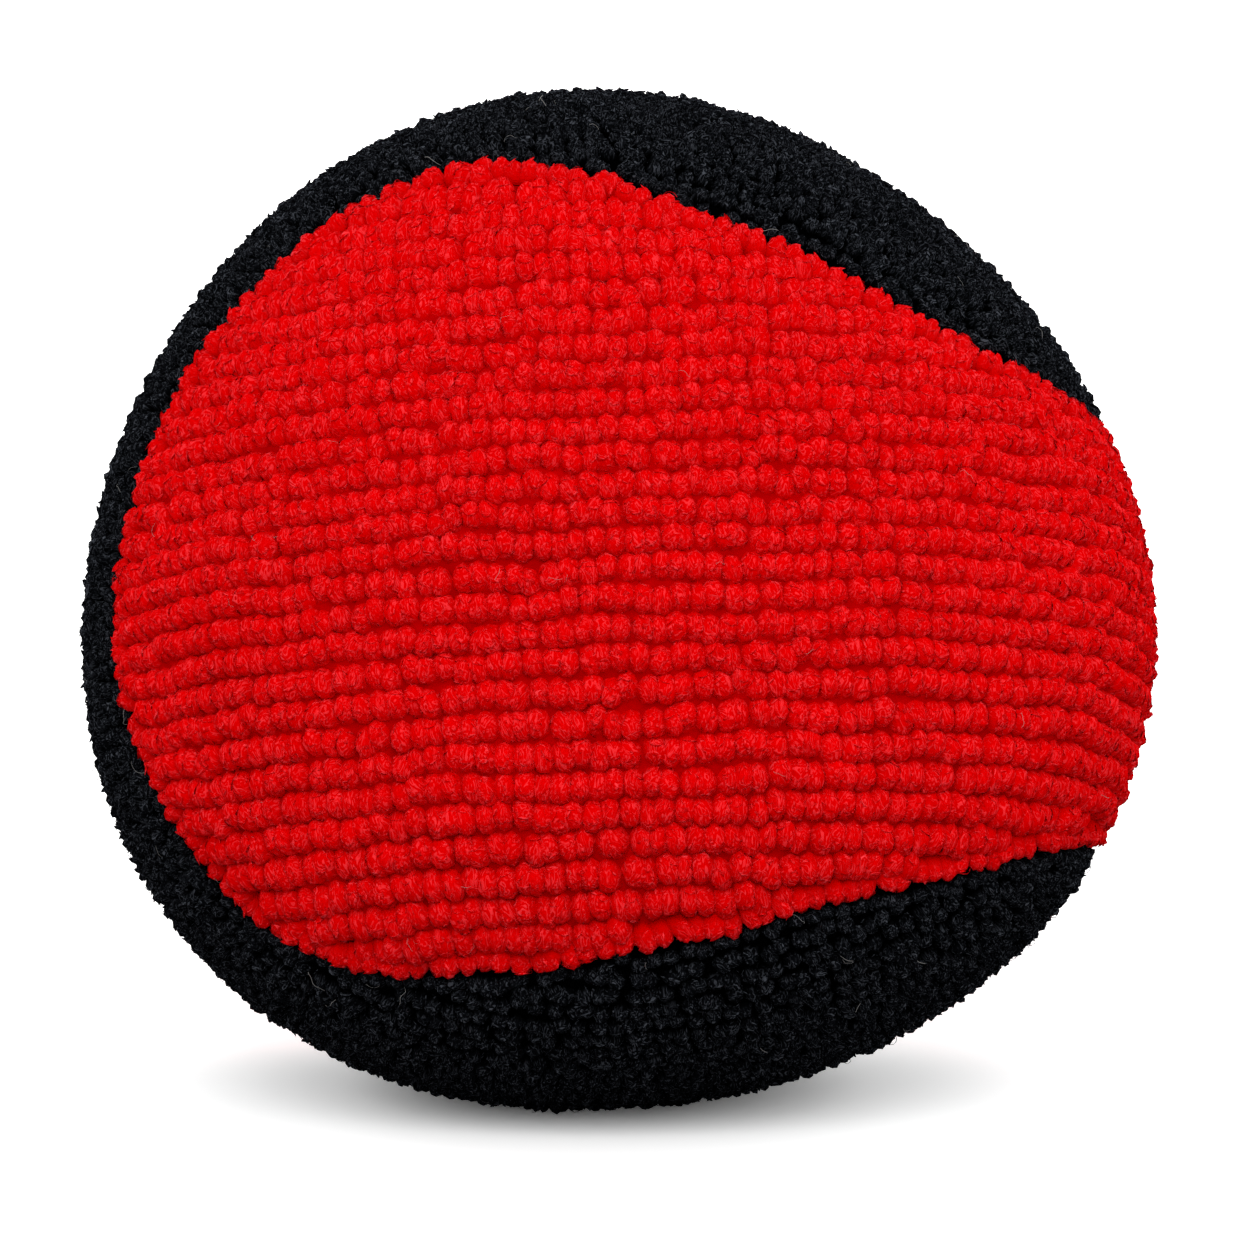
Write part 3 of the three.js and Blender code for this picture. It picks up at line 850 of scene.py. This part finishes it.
def standing_pile(name, frames, material, node, random):
    """One piece of pile: a yarn mesh set down in each frame."""
    pile = bmesh.new()
    pile.loops.layers.uv.new("Fibre")
    for row in frames:
        stamp = np.eye(4)
        stamp[:3, :3] = row[4:13].reshape(3, 3).T * MM
        stamp[:3, 3] = row[1:4] * MM + np.array(BALL_MIDDLE)
        yarn = YARN_MESHES[int(row[0])].copy()
        yarn.transform(Matrix(stamp))
        pile.from_mesh(yarn)
        bpy.data.meshes.remove(yarn)
    piece = finished(name, pile, material, [node])
    mesh = piece.data
    points = np.empty(len(mesh.vertices) * 3, np.float32)
    mesh.vertices.foreach_get("co", points)
    points = points.reshape(-1, 3)
    pressed = FLOOR_PRESS * np.exp(np.minimum(points[:, 2] / FLOOR_PRESS - 1, 0))
    points[:, 2] = np.maximum(points[:, 2], pressed)
    mesh.vertices.foreach_set("co", points.ravel())
    which = frames[:, 0].astype(int)
    for word in ("rise", "crest"):
        values = [np.array([item.value for item in yarn.attributes[word].data]) for yarn in YARN_MESHES]
        stamped = np.concatenate([values[number] for number in which]).astype(np.float32)
        mesh.attributes.new(word, "FLOAT", "POINT").data.foreach_set("value", stamped)
    counts = np.array([len(yarn.vertices) for yarn in YARN_MESHES])[which]
    normals = np.empty(len(mesh.vertices) * 3, np.float32)
    mesh.vertices.foreach_get("normal", normals)
    softness = np.where(which < len(TUFTS), TUFT_SOFTNESS, CURL_SOFTNESS)[:, None]
    outwards = np.repeat(softness * unit(frames[:, 10:13]), counts, axis=0)
    mesh.normals_split_custom_set_from_vertices(unit(normals.reshape(-1, 3) + outwards))
    tone = mesh.attributes.new("tone", "FLOAT", "POINT")
    tone.data.foreach_set("value", np.repeat(frames[:, 13], counts).astype(np.float32))
    corners = np.array([len(yarn.loops) for yarn in YARN_MESHES])[which]
    fibre = mesh.uv_layers["Fibre"].data
    uv = np.empty(len(mesh.loops) * 2, np.float32)
    fibre.foreach_get("uv", uv)
    uv = uv.reshape(-1, 2)
    turns = np.repeat(random.normal(0, FIBRE_TURN, len(frames)) * (which < len(TUFTS)), corners)
    uv = np.column_stack([
        uv[:, 0] * np.cos(turns) - uv[:, 1] * np.sin(turns),
        uv[:, 0] * np.sin(turns) + uv[:, 1] * np.cos(turns),
    ])
    uv += np.repeat(random.uniform(0, 40, (len(frames), 2)), corners, axis=0)
    fibre.foreach_set("uv", uv.astype(np.float32).ravel())
    mesh.update()
    return piece


def panel_pieces(names, frames, turns, material, node, random):
    """The pile of a panel, in as many pieces of equal size as there are names, counted round the ball."""
    marks = np.quantile(turns, np.linspace(0, 1, len(names) + 1)[1:-1])
    parts = np.searchsorted(marks, turns)
    for number, name in enumerate(names):
        standing_pile(name, frames[parts == number], material, node, random)


def pile_yarn(name, valley, shade, painted_shade_below, glint, glint_share):
    """Curly fibres: painted shade in the valleys and between fibres, and painted highlights where a fibre
    would catch the light.
    """
    yarn = Finish(name)
    place = yarn.node("ShaderNodeTexCoord", {}, {}, "Object")
    fibre = yarn.node("ShaderNodeUVMap", {"uv_map": "Fibre"})
    rise, tone, crest = (
        yarn.node("ShaderNodeAttribute", {"attribute_name": word}, {}, "Fac")
        for word in ("rise", "tone", "crest")
    )
    stretched = yarn.node("ShaderNodeMapping", {}, {"Vector": fibre, "Scale": FIBRE_SCALE})
    strands = yarn.noise(stretched, 1.0, 1, 0.5, FIBRE_WARP, "2D")
    knobs = yarn.noise(place, KNOB_SCALE, 2, 0.5)
    patches = yarn.noise(place, PATCH_SCALE, 2)
    # painted shade: low on a tuft and between fibres the colour goes over to the darker valley colour
    lit = yarn.between(rise, 0.0, 1.0, painted_shade_below, 1.0) * yarn.between(strands, 0.55, 1.0, *PAINTED_SHADE_STRANDS)
    colour = yarn.mix(lit, valley, shade)
    level = tone * TONE_SPREAD + patches * PATCH_SPREAD + DARKEST_TONE
    grey = yarn.node("ShaderNodeCombineColor", {}, {0: level, 1: level, 2: level})
    colour = yarn.mix(1.0, colour, grey, "MULTIPLY")
    # painted highlights: pale streaks along the fibres, strongest on curl crests and only high up on a tuft
    streak = yarn.between(strands, 0.0, 1.0, *PAINTED_GLINT_STRANDS)
    on_curls = yarn.between(crest, 0.0, 1.0, *PAINTED_GLINT_CRESTS) * CREST_SHARE + (1 - CREST_SHARE)
    line = on_curls * streak * yarn.between(rise, 0.0, 1.0, painted_shade_below, 0.9)
    colour = yarn.mix(line * glint_share, colour, glint)
    return yarn.cloth(colour, 0.9, strands + knobs * KNOB_SHARE, FIBRE_RELIEF, strength=0.9)


# the rows are counted down the front, as they are seen there
front_turns = np.radians(np.linspace(80, -80, 1601))
front_ways = np.column_stack([RED_ROWS_SIDE + 0 * front_turns, -np.cos(front_turns), np.sin(front_turns)])
front_line = at_depth(front_ways, 0)
seen_height = front_line[:, 2] * math.cos(CAMERA_ELEVATION) + front_line[:, 1] * math.sin(CAMERA_ELEVATION)
plane_height = front_line @ RED_ROW_NORMAL
marks = [RED_ROWS_TOP]
while marks[-1] > RED_ROWS_BOTTOM:
    marks.append(marks[-1] - (RED_ROW_PITCH - RED_ROW_CLOSER * marks[-1]))
red_heights = np.interp(-np.array(marks), -seen_height, plane_height)

random = np.random.default_rng(11)
inner = panel_tufts(RED_ROW_NORMAL, red_heights, RED_TUFT_PITCH, 1, RED_SEAM_MARGIN, random)
edge = edge_tufts(RED_TUFT_PITCH, 1, RED_EDGE_ROW, random)
red_tufts = map(np.concatenate, zip(inner, edge))
red_frames = yarn_frames(*red_tufts, RED_TUFT_PITCH, RED_FULLNESS, RED_WANDER, RED_ROLL, CURL_SPOTS, random)
red_yarn = pile_yarn("red_loop_yarn", RED_PAINTED_VALLEY_SHADE, RED_SHADE, RED_PAINTED_SHADE_BELOW, RED_GLINT, RED_GLINT_SHARE)
panel_pieces(
    [
        "red_pile_front_left", "red_pile_front_middle", "red_pile_front_right",
        "red_pile_back_right", "red_pile_back_middle", "red_pile_back_left",
    ],
    red_frames,
    np.arctan2(red_frames[:, 2], red_frames[:, 1]),
    red_yarn,
    "red_cover_panel",
    random,
)


# Black pile. The same yarn, dyed black, in rows that run along the black panel, over the top, round the
# left and under the ball. Its tufts stand less evenly than the red ones.
# the yarn's own black; a deeper black that is painted shade low on each tuft and between fibres; a pale grey
# glint that is a painted highlight; how strong the painted highlight is; and the share of a tuft's height
# below which the painted shade sets in, higher than on the red
BLACK_SHADE = (0.0034, 0.0038, 0.0049)
BLACK_PAINTED_VALLEY_SHADE = (0.0001, 0.0001, 0.0001)
BLACK_GLINT = (0.079, 0.086, 0.103)
BLACK_GLINT_SHARE = 0.7
BLACK_PAINTED_SHADE_BELOW = 0.5
BLACK_TUFT_PITCH = 1.3
BLACK_FULLNESS = 0.91
BLACK_WANDER = 0.20
BLACK_ROLL = 0.9
BLACK_CURLS = 5
BLACK_EDGE_ROW = 1.2
BLACK_SEAM_MARGIN = 2.0
BLACK_FIRST_ROW = 0.4
BLACK_ROW_PITCH = 1.85
BLACK_ROW_NORMAL = unit(np.array(SEAM_TILT) @ np.array([0.0, 1.0, 0.0]))

side_turns = np.radians(np.linspace(-86, 86, 1601))
side_line = at_depth(np.column_stack([-np.cos(side_turns), np.sin(side_turns), 0 * side_turns]), 0)
side_length = np.concatenate([[0], np.cumsum(np.linalg.norm(np.diff(side_line, axis=0), axis=1))])
black_marks = np.arange(BLACK_FIRST_ROW, side_length[-1], BLACK_ROW_PITCH)
black_heights = np.interp(black_marks, side_length, side_line @ BLACK_ROW_NORMAL)

random = np.random.default_rng(12)
inner = panel_tufts(BLACK_ROW_NORMAL, black_heights, BLACK_TUFT_PITCH, -1, BLACK_SEAM_MARGIN, random)
edge = edge_tufts(BLACK_TUFT_PITCH, -1, BLACK_EDGE_ROW, random)
black_tufts = map(np.concatenate, zip(inner, edge))
black_spots = CURL_SPOTS[:BLACK_CURLS]
black_frames = yarn_frames(
    *black_tufts, BLACK_TUFT_PITCH, BLACK_FULLNESS, BLACK_WANDER, BLACK_ROLL, black_spots, random
)
black_yarn = pile_yarn(
    "black_loop_yarn", BLACK_PAINTED_VALLEY_SHADE, BLACK_SHADE, BLACK_PAINTED_SHADE_BELOW, BLACK_GLINT, BLACK_GLINT_SHARE
)
panel_pieces(
    [
        "black_pile_bottom_right", "black_pile_bottom_middle", "black_pile_bottom_left",
        "black_pile_top_left", "black_pile_top_middle", "black_pile_top_right",
    ],
    black_frames,
    np.arctan2(black_frames[:, 3], -black_frames[:, 1]),
    black_yarn,
    "black_cover_panel",
    random,
)


# Stray fibres. Ends of yarn that stand out of the pile all over the cover, and pale lint that clings to it.
# Each is a single bent fibre.
STRAY_THICKNESS = 0.040
LINT_THICKNESS = 0.017
STRAYS_A_PANEL = 1300
LINT_ON_RED = 70
LINT_ON_BLACK = 90
STRAY_VARIANTS = 6
STRAY_ARCS = (110, 170)
STRAY_WAVE = 0.22
STRAY_WAVES = 2.2
STRAY_SPREAD = 0.6
STRAY_LIFTS = (-0.2, 0.5)
STRAY_ARCHES = (0.6, 1.0)
STRAY_FOOT = 0.25
LINT = (0.34, 0.33, 0.32)
LINT_SHADE = (0.12, 0.115, 0.115)
LINT_PATCH_SCALE = 900
LINT_KNOB_SCALE = 4000


def stray_shapes(thickness, steps, random):
    """Fibres one unit long, bent in an arc that lifts off the pile at one end, and a little wavy."""
    shapes = []
    for _ in range(STRAY_VARIANTS):
        shape = bmesh.new()
        ring = bmesh.ops.create_circle(shape, segments=3, radius=thickness / 2)["verts"]
        bmesh.ops.translate(shape, verts=ring, vec=(0, -0.5, 0))
        bmesh.ops.spin(
            shape,
            geom=shape.edges[:],
            cent=(0, 0, 0),
            axis=(1, 0, 0),
            angle=-math.radians(random.uniform(*STRAY_ARCS)),
            steps=steps,
            use_duplicate=False,
        )
        bmesh.ops.holes_fill(shape, edges=[edge for edge in shape.edges if edge.is_boundary])
        drift = random.uniform(0, 50)
        for vertex in shape.verts:
            wave_place = (drift, STRAY_WAVES * vertex.co.y, STRAY_WAVES * vertex.co.z)
            vertex.co.x += STRAY_WAVE * noise(Vector(wave_place))
        shapes.append(shape)
    return shapes


def stray_frames(frames, shapes, count, shortest, longest, random):
    """Places for single fibres on the tufts of a panel, as frames for their meshes."""
    tufts = frames[frames[:, 0] < len(TUFTS)]
    rows = []
    for tuft in tufts[random.integers(0, len(tufts), count)]:
        place, x_axis, y_axis, z_axis = tuft[1:13].reshape(4, 3)
        right, far = random.uniform(-STRAY_SPREAD, STRAY_SPREAD, 2)
        top = math.sqrt(1 - right**2 - far**2)
        foot = place + 0.5 * (x_axis * right + y_axis * far) + z_axis * top
        out = unit(unit(x_axis) * right + unit(y_axis) * far + unit(z_axis) * (top + 0.4))
        turn = random.uniform(0, 2 * math.pi)
        lift = random.uniform(*STRAY_LIFTS)
        flat = unit(np.cross(out, math.cos(turn) * x_axis + math.sin(turn) * y_axis))
        along = math.cos(lift) * flat + math.sin(lift) * out
        across = np.cross(along, unit(math.cos(lift) * out - math.sin(lift) * flat))
        arch = np.cross(across, along)
        size = random.uniform(shortest, longest)
        rows.append([
            random.choice(shapes),
            *(foot - STRAY_FOOT * size * arch),
            *(across * size),
            *(along * size),
            *(arch * size * random.uniform(*STRAY_ARCHES)),
            random.uniform(0, 1),
        ])
    return np.array(rows)


random = np.random.default_rng(13)
first = len(YARN_MESHES)
single_fibres = stray_shapes(STRAY_THICKNESS, 5, random) + stray_shapes(LINT_THICKNESS, 9, random)
YARN_MESHES += yarn_meshes(single_fibres, True)
stray_yarns = range(first, first + STRAY_VARIANTS)
lint_fibres = range(first + STRAY_VARIANTS, first + 2 * STRAY_VARIANTS)
lint = Finish("pale_lint")
place = lint.node("ShaderNodeTexCoord", {}, {}, "Object")
patches = lint.between(lint.noise(place, LINT_PATCH_SCALE, 2), 0.35, 0.65)
knobs = lint.noise(place, LINT_KNOB_SCALE, 1)
lint_cloth = lint.cloth(lint.mix(patches, LINT_SHADE, LINT), 0.8, knobs, 0.02 * MM, 0.02, strength=0.5)
red_place = (red_frames, "red_cover_panel")
black_place = (black_frames, "black_cover_panel")
for name, (frames, node), shapes, count, shortest, longest, material, slot_name in (
    ("red_stray_fibres", red_place, stray_yarns, STRAYS_A_PANEL, 0.5, 1.3, red_yarn, "red_pile"),
    ("black_stray_fibres", black_place, stray_yarns, STRAYS_A_PANEL, 0.7, 1.7, black_yarn, "black_pile"),
    ("lint_on_red", red_place, lint_fibres, LINT_ON_RED, 0.6, 1.6, lint_cloth, "cotton_thread"),
    ("lint_on_black", black_place, lint_fibres, LINT_ON_BLACK, 0.9, 2.4, lint_cloth, "cotton_thread"),
):
    strays = stray_frames(frames, shapes, count, shortest, longest, random)
    standing_pile(name, strays, material, node, random)


# Floor and light. A white sweep under the ball, and broad soft lamps round it. The floor is white to the
# camera except where the ball keeps the light off it.
FLOOR_SIZE = 12
FLOOR_SEEN = (1.28, 1.28, 1.28)
FLOOR_GLOW = 0.06
FLOOR_PALE = (0.33, 0.33, 0.33)
SKY_SEEN = 1.0
SKY_LIGHT = 0.52

floor_shape = bmesh.new()
bmesh.ops.create_grid(floor_shape, x_segments=1, y_segments=1, size=FLOOR_SIZE / 2)
floor_mesh = bpy.data.meshes.new("floor")
floor_shape.to_mesh(floor_mesh)
floor_shape.free()
floor = bpy.data.objects.new("floor", floor_mesh)
bpy.context.scene.collection.objects.link(floor)


def seen_directly(finish):
    """One to the camera, in a reflection and through glass, and nought where a surface only gives light."""
    rays = finish.node("ShaderNodeLightPath", {}, {}, "Is Camera Ray")
    mirrored = rays.math("MAXIMUM", rays.other("Is Glossy Ray"), rays.other("Is Transmission Ray"))
    return rays.math("MAXIMUM", rays, mirrored)


paper = Finish("white_paper")
shown = seen_directly(paper)
glow = paper.node("ShaderNodeEmission", {}, {"Color": (1.0, 1.0, 1.0), "Strength": FLOOR_GLOW})
bright = paper.node("ShaderNodeBsdfDiffuse", {}, {"Color": FLOOR_SEEN})
seen = paper.node("ShaderNodeAddShader", {}, {0: bright, 1: glow})
plain = paper.node("ShaderNodeBsdfDiffuse", {}, {"Color": FLOOR_PALE})
surface = paper.node("ShaderNodeMixShader", {}, {0: shown, 1: plain, 2: seen})
paper.node("ShaderNodeOutputMaterial", {}, {"Surface": surface})
floor_mesh.materials.append(paper.material)

world = bpy.data.worlds.new("studio")
bpy.context.scene.world = world
world.use_nodes = True
sky = Finish("studio", world.node_tree)
shown = seen_directly(sky)
strength = sky.node("ShaderNodeMapRange", {}, {"Value": shown, "To Min": SKY_LIGHT, "To Max": SKY_SEEN})
background = sky.node("ShaderNodeBackground", {}, {"Color": (1.0, 1.0, 1.0), "Strength": strength})
sky.node("ShaderNodeOutputWorld", {}, {"Surface": background})

for name, place, size, power in (
    ("front_lamp", (0.0, -1.0, 0.62), 0.9, 9.5),
    ("left_lamp", (-1.0, -0.45, 0.50), 0.7, 3.2),
    ("right_lamp", (1.0, -0.35, 0.50), 0.7, 3.5),
    ("back_lamp", (0.0, 1.1, 0.55), 0.9, 5.4),
    ("back_left_lamp", (-0.85, 0.85, 0.45), 0.7, 6.2),
    ("back_right_lamp", (0.85, 0.85, 0.45), 0.7, 7.2),
):
    lamp_data = bpy.data.lights.new(name, "AREA")
    lamp_data.size = size
    lamp_data.energy = power
    lamp = bpy.data.objects.new(name, lamp_data)
    lamp.location = place
    lamp.rotation_mode = "QUATERNION"
    lamp.rotation_quaternion = (BALL_MIDDLE - lamp.location).to_track_quat("-Z", "Y")
    bpy.context.scene.collection.objects.link(lamp)

bpy.context.scene.view_settings.view_transform = "Standard"
